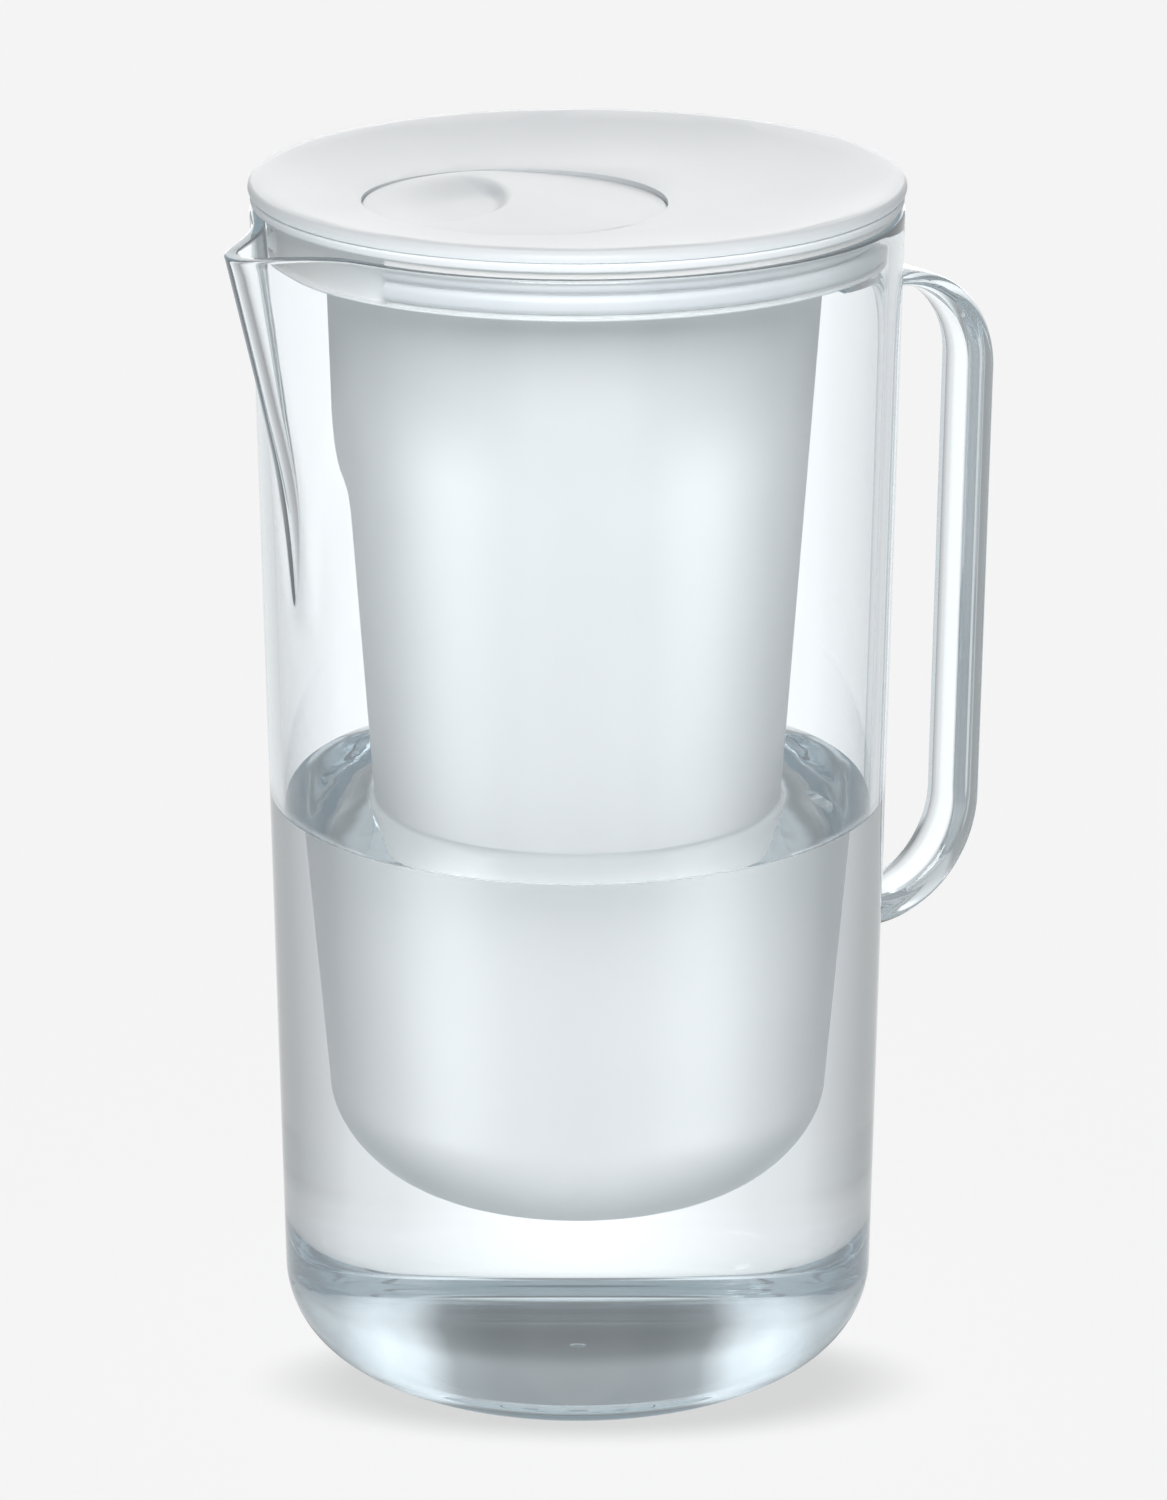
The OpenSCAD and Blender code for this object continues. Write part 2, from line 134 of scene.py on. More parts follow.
BACKGROUND = 0.9046
ROOM_LIGHT = 0.08
world = bpy.data.worlds.new("white_room")
scene.world = world
world.use_nodes = True
add = shader_tree(world.node_tree)
direction = add("ShaderNodeTexCoord").outputs["Generated"]
parts = add("ShaderNodeSeparateXYZ", Vector=direction).outputs
azimuth = maths(add, "ARCTAN2", parts[0], parts[1])
from_view = maths(add, "SUBTRACT", azimuth, VIEW_AZIMUTH)
ahead = maths(add, "COSINE", from_view)
aside = maths(add, "DIVIDE", maths(add, "ARCCOSINE", ahead), math.pi)
low_part = profile(add, aside, 1.25, (
    (0.0, 1.24), (0.04, 1.20), (0.11, 0.94), (0.16, 0.85), (0.21, 0.68), (0.27, 0.52),
    (0.33, 0.42), (0.42, 0.34), (0.45, 0.66), (0.55, 0.66), (0.58, 0.40), (0.85, 0.42),
    (0.91, 0.85), (1.0, 0.85)))
high_part = maths(add, "ADD", profile(add, aside, 1.5, (
    (0.0, 0.13), (0.045, 0.15), (0.07, 0.26), (0.095, 1.05), (0.125, 1.25), (0.19, 0.66),
    (0.33, 0.42), (0.5, 0.36), (0.8, 0.30), (1.0, 0.25))),
    ramp(add, parts[2], 0.38, 0.54, 0.0, 0.28))
above = ramp(add, parts[2], 0.07, 0.26, 0.0, 1.0)
field = maths(add, "ADD", maths(add, "MULTIPLY", low_part, maths(add, "SUBTRACT", 1.0, above)),
              maths(add, "MULTIPLY", high_part, above))
mirrored = maths(add, "MULTIPLY", light_path(add, "Is Reflection Ray"), 0.30)
field = maths(add, "MULTIPLY", field, maths(add, "SUBTRACT", 1.0, mirrored))
seen_field = add("ShaderNodeBackground", Strength=field)
seen_field.inputs["Color"].default_value = (0.985, 0.995, 1.0, 1)
room = add("ShaderNodeBackground", Strength=ROOM_LIGHT)
room.inputs["Color"].default_value = (1, 1, 1, 1)
backdrop = add("ShaderNodeBackground", Strength=1.0)
backdrop.inputs["Color"].default_value = (BACKGROUND, BACKGROUND, BACKGROUND, 1)
clear_rays = either_ray(add, "Is Transmission Ray", "Is Glossy Ray")
lit = add("ShaderNodeMixShader", Fac=clear_rays, i1=room.outputs[0], i2=seen_field.outputs[0])
seen = add("ShaderNodeMixShader", Fac=light_path(add, "Is Camera Ray"), i1=lit.outputs[0],
           i2=backdrop.outputs[0])
add("ShaderNodeOutputWorld", Surface=seen.outputs[0])


def softbox(name, azimuth, elevation, distance, size, power):
    """A square soft light that faces the pitcher. Azimuth 0 stands at -Y, 90 at +X."""
    data = bpy.data.lights.new(name, "AREA")
    data.shape = "SQUARE"
    data.size = size
    data.energy = power
    lamp = bpy.data.objects.new(name, data)
    scene.collection.objects.link(lamp)
    a, e = math.radians(azimuth), math.radians(elevation)
    away = np.array([math.sin(a) * math.cos(e), -math.cos(a) * math.cos(e), math.sin(e)])
    lamp.location = away * distance + np.array([0, 0, 0.13])
    lamp.rotation_euler = (math.pi / 2 - e, 0, a)
    lamp.visible_camera = False
    lamp.visible_transmission = False
    return lamp


FRONT, BACK, SATIN_SPREAD = -31, 149, 62
front_box = softbox("front_softbox", FRONT, 42, 1.6, 1.0, 25.5)
back_box = softbox("back_softbox", BACK, 12, 1.8, 1.2, 8.0)

# The hopper and the lid have lamps of their own, linked to them further down.
satin_boxes = [softbox("satin_left", FRONT - SATIN_SPREAD, 9, 1.6, 0.9, 205.0),
               softbox("satin_right", FRONT + SATIN_SPREAD, 9, 1.6, 0.9, 205.0)]
lid_boxes = [softbox("lid_top", BACK, 84, 1.6, 1.2, 11.0),
             softbox("lid_front", FRONT, 6, 1.6, 1.0, 23.0),
             softbox("lid_sheen", BACK, 36, 1.8, 1.1, 3.0)]
for lamp in (*satin_boxes, lid_boxes[2]):
    lamp.visible_diffuse = False
satin_only = bpy.data.collections.new("satin_only")
lid_only = bpy.data.collections.new("lid_only")
for group in (satin_only, lid_only):
    scene.collection.children.link(group)

floor_mesh = bpy.data.meshes.new("studio_floor")
floor = bpy.data.objects.new("studio_floor", floor_mesh)
scene.collection.objects.link(floor)
span = 12.0
floor_mesh.from_pydata([(-span, -span, -0.0001), (span, -span, -0.0001),
                        (span, span, -0.0001), (-span, span, -0.0001)], [], [(0, 1, 2, 3)])
floor_paint = bpy.data.materials.new("floor_paint")
floor_paint.use_nodes = True
add = shader_tree(floor_paint.node_tree)
FLOOR_GLOW, SHADOW_DEPTH = 0.893, 0.25
SHADOW_PLACE, SHADOW_SPREAD = (-0.0125, -0.0265, 0), (0.077, 0.035, 1)
TABLE_SHADE_EDGE, OPENING_EDGE = (0.049, 0.056), (0.058, 0.066)
paint = add("ShaderNodeBsdfDiffuse", Roughness=0.0)
paint.inputs["Color"].default_value = ((BACKGROUND - FLOOR_GLOW) / ROOM_LIGHT,) * 3 + (1,)
# A soft ellipse beside the foot dims the floor's glow: a painted shadow of the pitcher.
place = add("ShaderNodeTexCoord").outputs["Object"]
shadow = add("ShaderNodeMapping", _vector_type="TEXTURE", Vector=place)
shadow.inputs["Location"].default_value = SHADOW_PLACE
shadow.inputs["Rotation"].default_value = (0, 0, -VIEW_AZIMUTH)
shadow.inputs["Scale"].default_value = SHADOW_SPREAD
contact = add("ShaderNodeVectorMath", _operation="LENGTH",
              i0=shadow.outputs[0]).outputs["Value"]
glow = add("ShaderNodeEmission", Strength=ramp(
    add, contact, 0.62, 1.0, FLOOR_GLOW - SHADOW_DEPTH, FLOOR_GLOW))
for_camera = add("ShaderNodeAddShader", i0=paint.outputs[0], i1=glow.outputs[0])
# Rays that reach the floor through the jug see a grey glow under the foot and a darker ring just
# past it, painted shade of the pitcher on its table; further out the floor lets clear rays through
# to the room.
spot = add("ShaderNodeVectorMath", _operation="LENGTH",
           i0=add("ShaderNodeTexCoord").outputs["Object"]).outputs["Value"]
shaded_table = add("ShaderNodeEmission", Strength=maths(
    add, "ADD", ramp(add, spot, *TABLE_SHADE_EDGE, 0.66, 0.30),
    maths(add, "MULTIPLY", light_path(add, "Is Diffuse Ray"), 0.44)))
shaded_table.inputs["Color"].default_value = (0.92, 0.98, 1.0, 1)
opening = maths(add, "MULTIPLY", ramp(add, spot, *OPENING_EDGE, 0.0, 1.0),
                either_ray(add, "Is Transmission Ray", "Is Glossy Ray"))
open_floor = add("ShaderNodeBsdfTransparent")
for_others = add("ShaderNodeMixShader", Fac=opening, i1=shaded_table.outputs[0],
                 i2=open_floor.outputs[0])
surface = add("ShaderNodeMixShader", Fac=light_path(add, "Is Camera Ray"),
              i1=for_others.outputs[0], i2=for_camera.outputs[0])
add("ShaderNodeOutputMaterial", Surface=surface.outputs[0])
floor_mesh.materials.append(floor_paint)
flags = {front_box: [floor], back_box: [floor]}

# ---------------------------------------------------------------------------------------
# Jug. One injection-moulded shell of clear plastic: a cone of 0.9 degrees with a thick
# floor, a rounded foot, and a beak drawn out of the wall whose lip dips to the tip.
JUG_H, RIM_R, BASE_R, WALL, FLOOR_T = 252.0, 67.7, 63.6, 3.0, 6.0
FOOT_R = 17.7
LEAN = (RIM_R - BASE_R) / JUG_H
BEAK_REACH, NOSE_R, FLANK, BEAK_H, BEAK_DIP = 81.3, 8.0, math.radians(40), 61.5, 1.5
WATER_Z = 124.5
MENISCUS = 1.3
RIM_EDGE = 0.7
BEAK_SOFT, BEAK_SOFT_GAIN, BEAK_SOFT_FROM = 7.6, 1.6, 172
BEAK_RIDGE_IN = 1.2


def wall_r(z):
    return BASE_R + LEAN * z


def blend_max(a, b, soft):
    """The larger of a and b, with a fillet where they are closer than soft."""
    near = np.maximum(soft - np.abs(a - b), 0) / soft
    return np.maximum(a, b) + near ** 3 * soft / 6


def soft_step(value):
    value = np.clip(value, 0, 1)
    return value * value * (3 - 2 * value)


def beak_r(angle, z, inset):
    """The beak's radius from the jug's axis, at an angle from the beak's middle."""
    apex = JUG_H - BEAK_H
    start = wall_r(apex)
    ridge = start + (z - apex) * (BEAK_REACH - start) / (BEAK_H - BEAK_DIP)
    if inset:
        ridge = ridge - BEAK_RIDGE_IN * (1 - soft_step((z - apex) / 30))
    middle = ridge - NOSE_R
    nose = NOSE_R - inset
    flank = (middle * math.sin(FLANK) + nose) / np.cos(np.clip(
        np.abs(angle) - (math.pi / 2 - FLANK), -1.3, 1.3))
    touch = np.arctan2(nose * math.cos(FLANK), middle + nose * math.sin(FLANK))
    inside = np.maximum(nose ** 2 - (middle * np.sin(angle)) ** 2, 0)
    tip = middle * np.cos(angle) + np.sqrt(inside)
    shape = np.where(np.abs(angle) < touch, tip, flank)
    return np.where(np.abs(angle) < math.pi / 2 - FLANK, shape, 0)


def jug_r(angle, z, inset=0.0):
    """The wall's radius with the beak in it, for the outer face or, with inset, the inner."""
    soft = BEAK_SOFT + BEAK_SOFT_GAIN * soft_step((z - 192) / 55)
    soft = soft + inset * (1 - 0.5 * soft_step((z - 200) / 50))
    plain = wall_r(z) - inset
    grown = blend_max(plain, beak_r(angle, z, inset), soft)
    return np.where(z > BEAK_SOFT_FROM, grown, plain)


def mesh_piece(name, rows, material, smooth_angle, caps=(None, None)):
    """A mesh from rows of points that run round it, joined row to row. A cap is a point
    that closes the first or the last row."""
    rows = np.array(rows, float)
    count, around = rows.shape[:2]
    points = list(map(tuple, (rows.reshape(-1, 3) * MM).tolist()))
    faces = []
    for i in range(count - 1):
        for j in range(around):
            k = (j + 1) % around
            faces.append((i * around + j, i * around + k,
                          (i + 1) * around + k, (i + 1) * around + j))
    for end, point in enumerate(caps):
        if point is None:
            continue
        points.append(tuple(np.array(point) * MM))
        row = 0 if end == 0 else (count - 1) * around
        for j in range(around):
            k = (j + 1) % around
            pair = (row + k, row + j) if end == 0 else (row + j, row + k)
            faces.append((*pair, len(points) - 1))
    data = bpy.data.meshes.new(name)
    data.from_pydata(points, [], faces)
    data.materials.append(material)
    data.shade_smooth()
    if smooth_angle:
        data.set_sharp_from_angle(angle=math.radians(smooth_angle))
    piece = bpy.data.objects.new(name, data)
    scene.collection.objects.link(piece)
    return piece


def clear_plastic(name, tint):
    """Clear moulded plastic. Faces that water wets bend light only as plastic against
    water, and lamps and the room's light pass through."""
    material = bpy.data.materials.new(name)
    material.use_nodes = True
    add = shader_tree(material.node_tree)
    shells = []
    for ior in (1.5, 1.128):
        shell = add("ShaderNodeBsdfPrincipled", Roughness=0.0, IOR=ior)
        shell.inputs["Base Color"].default_value = tint
        shell.inputs["Transmission Weight"].default_value = 1
        shells.append(shell.outputs[0])
    wet = add("ShaderNodeAttribute", _attribute_name="wet").outputs["Fac"]
    shell = add("ShaderNodeMixShader", Fac=wet, i1=shells[0], i2=shells[1])
    passed = either_ray(add, "Is Shadow Ray", "Is Diffuse Ray")
    let = add("ShaderNodeBsdfTransparent")
    let.inputs["Color"].default_value = (0.97, 0.98, 0.985, 1)
    surface = add("ShaderNodeMixShader", Fac=passed, i1=shell.outputs[0], i2=let.outputs[0])
    depth = add("ShaderNodeVolumeAbsorption", Density=20.0)
    depth.inputs["Color"].default_value = (0.14, 0.34, 0.42, 1)
    # A faint glow inside the plastic is painted light that keeps its thick rim and edges from
    # going black.
    painted_glow = add("ShaderNodeEmission", Strength=4.0)
    painted_glow.inputs["Color"].default_value = (0.97, 0.98, 1.0, 1)
    depth = add("ShaderNodeAddShader", i0=depth.outputs[0], i1=painted_glow.outputs[0])
    add("ShaderNodeOutputMaterial", Surface=surface.outputs[0], Volume=depth.outputs[0])
    return material


def arc_points(cx, cy, r, a, b, steps):
    turn = np.radians(np.linspace(a, b, steps + 1))
    return np.stack([cx + r * np.cos(turn), cy + r * np.sin(turn)], 1)


jug_plastic = clear_plastic("clear_plastic", (0.99, 0.995, 1.0, 1))
fine = np.linspace(-1, 1, 121) * math.radians(34)
coarse = np.linspace(math.radians(34), 2 * math.pi - math.radians(34), 241)[1:-1]
beak_angles = np.concatenate([fine, coarse])
jug_turn = beak_angles + math.pi
cosines, sines = np.cos(jug_turn), np.sin(jug_turn)
from_beak = (beak_angles + math.pi) % (2 * math.pi) - math.pi
outer_top = jug_r(from_beak, np.full_like(from_beak, JUG_H))
inner_top = jug_r(from_beak, np.full_like(from_beak, JUG_H), WALL)
lip_slope = BEAK_DIP / (BEAK_REACH - (RIM_R - WALL))


def lip_z(radius):
    out = np.maximum(-radius * cosines - (RIM_R - WALL), 0)
    return JUG_H - 0.02 - lip_slope * out


# The lip dips towards the tip, so its radii are taken again at its own height.
outer_top = jug_r(from_beak, lip_z(outer_top))
inner_top = jug_r(from_beak, lip_z(inner_top), WALL)


def ring(radius, z):
    return np.stack([radius * cosines, radius * sines, z + 0 * radius], 1)


jug_rows = [ring(np.full_like(sines, r), z) for r, z in (
    (0.6, 0.72), (1.0, 0.74), (1.2, 0.8), (1.5, 0.8), (6, 0.785), (12, 0.74), (18, 0.66),
    (24, 0.56), (30, 0.43), (36, 0.26), (40, 0.14), (43, 0.04), (44.5, 0.0))]
foot = arc_points(wall_r(FOOT_R) - FOOT_R, FOOT_R, FOOT_R, -90, 0, 22)
jug_rows += [ring(np.full_like(sines, r), z) for r, z in foot]
outer_end = lip_z(outer_top) - RIM_EDGE
for share in np.concatenate([np.linspace(0.03, 0.66, 16), np.linspace(0.68, 1, 40)]):
    z = FOOT_R + share * (outer_end - FOOT_R)
    jug_rows.append(ring(jug_r(from_beak, z), z))
for turn in np.radians((25, 50, 75, 90)):
    r = outer_top - RIM_EDGE * (1 - np.cos(turn))
    jug_rows.append(ring(r, lip_z(outer_top) - RIM_EDGE * (1 - np.sin(turn))))
for turn in np.radians((90, 65, 40, 15, 0)):
    r = inner_top + RIM_EDGE * (1 - np.cos(turn))
    jug_rows.append(ring(r, lip_z(inner_top) - RIM_EDGE * (1 - np.sin(turn))))
inner_end = lip_z(inner_top) - RIM_EDGE
inner_foot_r = FOOT_R - WALL
inner_low = FLOOR_T + inner_foot_r
wet_row = WATER_Z + MENISCUS
for z in np.linspace(1, 0, 40)[1:]:
    z = wet_row + z * (inner_end - wet_row)
    jug_rows.append(ring(jug_r(from_beak, z, WALL), z))
first_wet = len(jug_rows) - 1
for z in np.linspace(wet_row, inner_low, 12)[1:]:
    jug_rows.append(ring(np.full_like(sines, wall_r(z) - WALL), z))
inner_foot = arc_points(wall_r(inner_low) - WALL - inner_foot_r, inner_low, inner_foot_r,
                        0, -90, 18)[1:]
jug_rows += [ring(np.full_like(sines, r), z) for r, z in inner_foot]
jug_rows += [ring(np.full_like(sines, r), FLOOR_T) for r in (40, 20, 6)]
jug = mesh_piece("jug", jug_rows, jug_plastic, smooth_angle=60,
                 caps=((0, 0, 0.72), (0, 0, FLOOR_T)))
wet = jug.data.attributes.new("wet", "FLOAT", "FACE")
row_of = np.arange(len(jug.data.polygons)) // len(jug_turn)
is_wet = ((row_of >= first_wet) & (row_of < len(jug_rows) - 1)).astype(np.float32)
is_wet[-len(jug_turn):] = 1
wet.data.foreach_set("value", is_wet)
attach(jug, "jug")
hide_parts("pitcher_body")

# ---------------------------------------------------------------------------------------
# Handle. A clear strap that springs thin from the wall, turns down into a flat grip and
# comes back in a wider bend. Its long edges are a little rounded.
GRIP_REACH, GRIP_T, GRIP_W = 102.4, 6.8, 13.0
HANDLE_TOP, HANDLE_LOW, ARM_T, TOP_BEND, LOW_BEND = 228.9, 81.3, 3.0, 23.6, 27.0
STRAP_EDGE, IN_BEND_MORE = 2.4, 1.8
slant = LEAN * (HANDLE_TOP - HANDLE_LOW - TOP_BEND - LOW_BEND)
low_x = GRIP_REACH - slant
low_z = HANDLE_LOW + LOW_BEND
in_bend = TOP_BEND - GRIP_T + IN_BEND_MORE
outer_line = np.concatenate([
    np.stack([np.linspace(wall_r(HANDLE_TOP) - 1, GRIP_REACH - TOP_BEND, 10)[:-1],
              np.full(9, HANDLE_TOP)], 1),
    arc_points(GRIP_REACH - TOP_BEND, HANDLE_TOP - TOP_BEND, TOP_BEND, 90, 0, 28),
    np.stack([np.linspace(GRIP_REACH, low_x, 20), np.linspace(HANDLE_TOP - TOP_BEND, low_z, 20)],
             1)[1:-1],
    arc_points(low_x - LOW_BEND, low_z, LOW_BEND, 0, -90, 28),
    np.stack([np.linspace(low_x - LOW_BEND, wall_r(HANDLE_LOW) - 1, 10)[1:],
              np.full(9, HANDLE_LOW)], 1)])
in_x = GRIP_REACH - GRIP_T
inner_line = np.concatenate([
    np.stack([np.linspace(wall_r(HANDLE_TOP) - 1, in_x - in_bend, 10)[:-1],
              np.full(9, HANDLE_TOP - ARM_T)], 1),
    arc_points(in_x - in_bend, HANDLE_TOP - ARM_T - in_bend, in_bend, 90, 0, 28),
    np.stack([np.linspace(in_x, in_x - slant, 20),
              np.linspace(HANDLE_TOP - ARM_T - in_bend, low_z, 20)], 1)[1:-1],
    arc_points(low_x - LOW_BEND, low_z, LOW_BEND - GRIP_T, 0, -90, 28),
    np.stack([np.linspace(low_x - LOW_BEND, wall_r(HANDLE_LOW) - 1, 10)[1:],
              np.full(9, HANDLE_LOW + GRIP_T)], 1)])
strap_rows = []
for (ox, oz), (ix, iz) in zip(outer_line, inner_line):
    thick = math.hypot(ox - ix, oz - iz)
    out = np.array([ox - ix, oz - iz]) / thick
    centre = np.array([ox + ix, oz + iz]) / 2
    section = []
    for sy, so, start in ((1, 1, 0), (-1, 1, 90), (-1, -1, 180), (1, -1, 270)):
        for turn in np.radians(start + np.linspace(0, 90, 6)):
            y = sy * (GRIP_W / 2 - STRAP_EDGE) + STRAP_EDGE * math.cos(turn)
            across = so * (thick / 2 - STRAP_EDGE) + STRAP_EDGE * math.sin(turn)
            section.append((centre[0] + out[0] * across, y, centre[1] + out[1] * across))
    strap_rows.append(section)
strap_rows = np.array(strap_rows)
for row in (0, -1):
    y, z = strap_rows[row][:, 1], strap_rows[row][:, 2]
    strap_rows[row][:, 0] = np.sqrt((wall_r(z) - 0.15) ** 2 - y ** 2)
strap = mesh_piece("strap_handle", strap_rows, jug_plastic, smooth_angle=50,
                   caps=(strap_rows[0].mean(0), strap_rows[-1].mean(0)))
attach(strap, "jug")
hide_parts("handle")

# ---------------------------------------------------------------------------------------
# Water. It fills the jug to about half and creeps up the wall and the hopper a little.
# It is what the pitcher holds, so it belongs to the stage and not to the object.
water_paint = bpy.data.materials.new("still_water")
water_paint.use_nodes = True
add = shader_tree(water_paint.node_tree)
ripple = add("ShaderNodeTexNoise", Vector=add("ShaderNodeTexCoord").outputs["Object"],
             Scale=48.0, Detail=1.5)
waves = add("ShaderNodeBump", Strength=0.6, Distance=0.001, Height=ripple.outputs["Fac"])
skin = add("ShaderNodeBsdfPrincipled", Roughness=0.0, IOR=1.333, Normal=waves.outputs[0])
skin.inputs["Base Color"].default_value = (0.985, 0.995, 1.0, 1)
skin.inputs["Transmission Weight"].default_value = 1
passed = either_ray(add, "Is Shadow Ray", "Is Diffuse Ray")
let = add("ShaderNodeBsdfTransparent")
let.inputs["Color"].default_value = (0.70, 0.71, 0.72, 1)
surface = add("ShaderNodeMixShader", Fac=passed, i1=skin.outputs[0], i2=let.outputs[0])
add("ShaderNodeOutputMaterial", Surface=surface.outputs[0])
TUB_TOP_R, TUB_LOW_R, TUB_Z, COLLAR_Z = 51.4, 37.5, 39.0, 243.2
TUB_CREEP = 1.0


def tub_r(z):
    return TUB_LOW_R + (TUB_TOP_R - TUB_LOW_R) * (z - TUB_Z) / (COLLAR_Z - TUB_Z)


water_turn = np.linspace(0, 2 * math.pi, 257)[:-1]
wall_end = wall_r(wet_row) - WALL + 0.03
tub_end = tub_r(WATER_Z + TUB_CREEP)
radii = np.concatenate([
    [4, 20, 38, tub_end - 1.0, tub_end - 0.05],
    tub_end + np.array([0.15, 0.4, 0.8, 1.4, 2.2, 3.4, 5.0]),
    wall_end - np.array([6.5, 4.6, 3.2, 2.2, 1.5, 1.0, 0.6, 0.3, 0.1, 0.0])])[::-1]
water_rows = []
for r in radii:
    climb = MENISCUS * math.exp(-(wall_end - r) / 1.7)
    if r > tub_end - 2:
        climb += TUB_CREEP * math.exp(-abs(r - tub_end) / 1.5)
    water_rows.append(np.stack([r * np.cos(water_turn), r * np.sin(water_turn),
                                np.full_like(water_turn, WATER_Z + climb)], 1))
water = mesh_piece("water_surface", water_rows, water_paint, smooth_angle=0,
                   caps=(None, (0, 0, WATER_Z)))

# ---------------------------------------------------------------------------------------
# Hopper. A tapered tub of frosted plastic with a rounded foot, a fillet under its collar
# and a thin flange that rests on the jug's rim, cut back over the beak.
TUB_WALL, TUB_FOOT, FILLET, COLLAR_LIP_T, FLANGE_T = 2.2, 21.0, 2.5, 0.5, 1.4
COLLAR_LIP_R = wall_r(COLLAR_Z) - WALL - 0.5
COLLAR_R = COLLAR_LIP_R - 1.7
COLLAR_IN_R = COLLAR_R - TUB_WALL
FLANGE_Z = JUG_H + FLANGE_T
FLANGE_R = RIM_R - 1.3
POUR_ANGLE = math.radians(23)
NECK_HOLE = 15.4


def eased(points, radius, steps):
    """A closed outline with each sharp corner turned into a small arc."""
    points = np.array(points, float)
    made = []
    for k, corner in enumerate(points):
        to_last, to_next = points[k - 1] - corner, points[(k + 1) % len(points)] - corner
        a, b = np.linalg.norm(to_last), np.linalg.norm(to_next)
        to_last, to_next = to_last / a, to_next / b
        bend = math.acos(np.clip(np.dot(to_last, to_next), -1, 1))
        if bend > math.radians(160):
            made.append(corner)
            continue
        back = min(radius / math.tan(bend / 2), 0.45 * a, 0.45 * b)
        r = back * math.tan(bend / 2)
        centre = corner + (to_last + to_next) / np.linalg.norm(to_last + to_next) * (
            r / math.sin(bend / 2))
        start, end = corner + to_last * back - centre, corner + to_next * back - centre
        for share in np.linspace(0, 1, steps + 1):
            step = start * (1 - share) + end * share
            made.append(centre + step / np.linalg.norm(step) * r)
    return np.array(made)


def turned(name, outline, material, shape=None):
    """A ring or bowl turned from a closed outline of (radius, height) points."""
    turn = np.linspace(0, 2 * math.pi, 241)[:-1]
    rows = []
    for r, z in list(outline) + [outline[0]]:
        radius = np.full_like(turn, r) if shape is None else shape(turn, r, z)
        rows.append(np.stack([radius * np.cos(turn), radius * np.sin(turn),
                              np.full_like(turn, z)], 1))
    piece = mesh_piece(name, rows, material, smooth_angle=0)
    data = piece.data
    work = bmesh.new()
    work.from_mesh(data)
    bmesh.ops.remove_doubles(work, verts=work.verts, dist=1e-7)
    bmesh.ops.recalc_face_normals(work, faces=work.faces)
    work.to_mesh(data)
    work.free()
    data.shade_smooth()
    data.set_sharp_from_angle(angle=math.radians(35))
    return piece


def moulded(name, colour, rough):
    """Moulded plastic with a fine spark-eroded grain and slightly uneven gloss."""
    material = bpy.data.materials.new(name)
    material.use_nodes = True
    add = shader_tree(material.node_tree)
    place = add("ShaderNodeTexCoord").outputs["Object"]
    clouds = add("ShaderNodeTexNoise", Vector=place, Scale=38.0, Detail=3.0)
    speck = add("ShaderNodeTexNoise", Vector=place, Scale=1200.0, Detail=1.0)
    gloss = add("ShaderNodeMapRange", Value=clouds.outputs["Fac"])
    gloss.inputs["To Min"].default_value = rough - 0.05
    gloss.inputs["To Max"].default_value = rough + 0.05
    bump = add("ShaderNodeBump", Strength=0.02, Distance=0.0002, Height=speck.outputs["Fac"])
    tone = add("ShaderNodeMix", _data_type="RGBA", i0=clouds.outputs["Fac"],
               i6=(*[c * 0.985 for c in colour], 1), i7=(*colour, 1))
    body = add("ShaderNodeBsdfPrincipled", Roughness=gloss.outputs[0], Normal=bump.outputs[0],
               Base_Color=tone.outputs[2])
    body.inputs["IOR"].default_value = 1.49
    add("ShaderNodeOutputMaterial", Surface=body.outputs[0])
    return material


# Under water the hopper is fully matt, and its gloss fades out below the collar, a painted shade
# that darkens the top of the tub.
SHEEN_LOW_Z, SHEEN_HIGH_Z = 200, 224
frosted = moulded("frosted_plastic", (0.865, 0.857, 0.852), 0.45)
tree = frosted.node_tree
height = tree.nodes.new("ShaderNodeSeparateXYZ")
tree.links.new(tree.nodes["Texture Coordinate"].outputs["Object"], height.inputs[0])
matt = tree.nodes.new("ShaderNodeMapRange")
tree.links.new(height.outputs[2], matt.inputs["Value"])
for k, number in enumerate(((WATER_Z - 1) * MM, WATER_Z * MM, 1.0, 0.0)):
    matt.inputs[k + 1].default_value = number
tree.links.new(matt.outputs[0], tree.nodes["Principled BSDF"].inputs["Diffuse Roughness"])
collar_shade = tree.nodes.new("ShaderNodeMapRange")
collar_shade.interpolation_type = "SMOOTHSTEP"
tree.links.new(height.outputs[2], collar_shade.inputs["Value"])
for k, number in enumerate((SHEEN_LOW_Z * MM, SHEEN_HIGH_Z * MM, 0.5, 0.04)):
    collar_shade.inputs[k + 1].default_value = number
tree.links.new(collar_shade.outputs[0], tree.nodes["Principled BSDF"].inputs["Specular IOR Level"])
top_z = COLLAR_Z - FILLET
foot_z = TUB_Z + TUB_FOOT
ledge_z = COLLAR_Z + TUB_WALL
in_foot = TUB_FOOT - TUB_WALL
